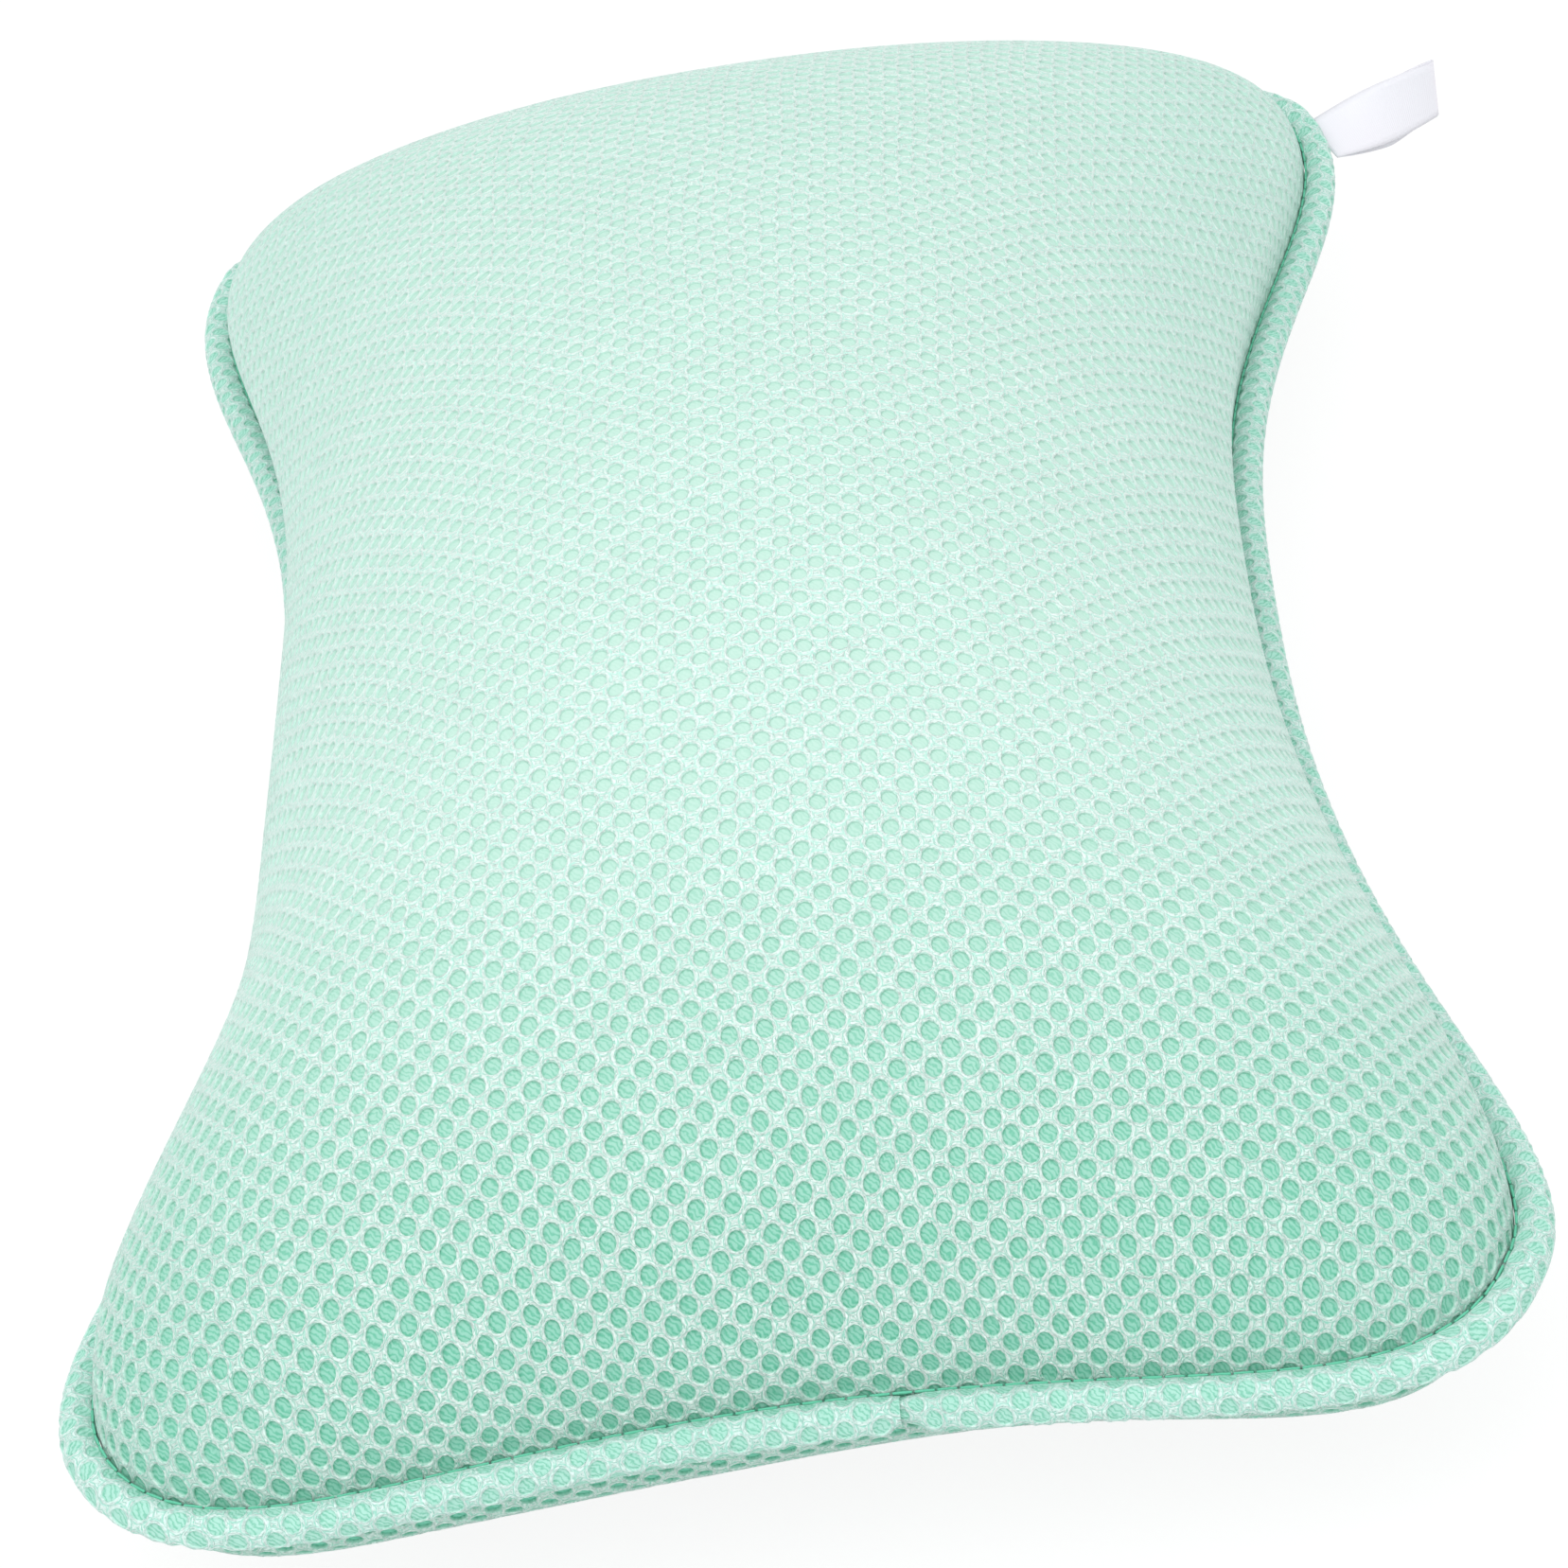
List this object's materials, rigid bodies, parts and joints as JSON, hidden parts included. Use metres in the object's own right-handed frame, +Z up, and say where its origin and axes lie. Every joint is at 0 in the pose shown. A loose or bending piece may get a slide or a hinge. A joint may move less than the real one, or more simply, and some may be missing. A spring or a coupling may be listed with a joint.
{
  "type": "bath pillow",
  "caption": "Hourglass bath pillow of mint spacer mesh, crowned front, piped seam, folded ribbon loop at one corner, flat back on swivelling suction cups.",
  "frame": {"origin": "centre of the bounding box's bottom, in the plane of the suction cups' sealing rings", "axes": "+Z up, out of the crowned front; +Y along the pillow, towards the end with the ribbon loop; +X across it, towards the ribbon loop's side"},
  "size_m": [0.2612, 0.4006, 0.1049],
  "materials": {
    "mesh": "matte",
    "back_mesh": "matte",
    "piping": "matte",
    "fibre": "matte",
    "satin": "satin",
    "patch": "matte",
    "eyelet": "gloss",
    "clear_pvc": "gloss"
  },
  "bodies": {
    "pillow": {"front_cover": "mesh", "back_cover": "back_mesh", "piping": "piping", "filling": "fibre", "eyelet_1": "eyelet", "eyelet_2": "eyelet", "eyelet_3": "eyelet", "eyelet_4": "eyelet", "eyelet_patch_1": "patch", "eyelet_patch_2": "patch", "eyelet_patch_3": "patch", "eyelet_patch_4": "patch", "eyelet_washer_1": "eyelet", "eyelet_washer_2": "eyelet", "eyelet_washer_3": "eyelet", "eyelet_washer_4": "eyelet"},
    "suction_cup_1": {"suction_cup_1": "clear_pvc"},
    "suction_cup_2": {"suction_cup_2": "clear_pvc"},
    "suction_cup_3": {"suction_cup_3": "clear_pvc"},
    "suction_cup_4": {"suction_cup_4": "clear_pvc"},
    "ribbon_loop": {"ribbon_loop": "satin"}
  },
  "joints": [
    {"name": "cup_1_swivel", "type": "hinge", "parent": "pillow", "child": "suction_cup_1", "pos_m": [-0.07203, -0.125, 0.013], "axis": [0, 0, 1], "continuous": true},
    {"name": "cup_2_swivel", "type": "hinge", "parent": "pillow", "child": "suction_cup_2", "pos_m": [0.0442, -0.125, 0.013], "axis": [0, 0, 1], "continuous": true},
    {"name": "cup_3_swivel", "type": "hinge", "parent": "pillow", "child": "suction_cup_3", "pos_m": [-0.07203, 0.125, 0.013], "axis": [0, 0, 1], "continuous": true},
    {"name": "cup_4_swivel", "type": "hinge", "parent": "pillow", "child": "suction_cup_4", "pos_m": [0.0442, 0.125, 0.013], "axis": [0, 0, 1], "continuous": true},
    {"name": "ribbon_flap", "type": "hinge", "parent": "pillow", "child": "ribbon_loop", "pos_m": [0.10207, 0.17487, 0.03332], "axis": [0.2565, -0.9665, 0], "range_deg": [-60, 60]}
  ]
}
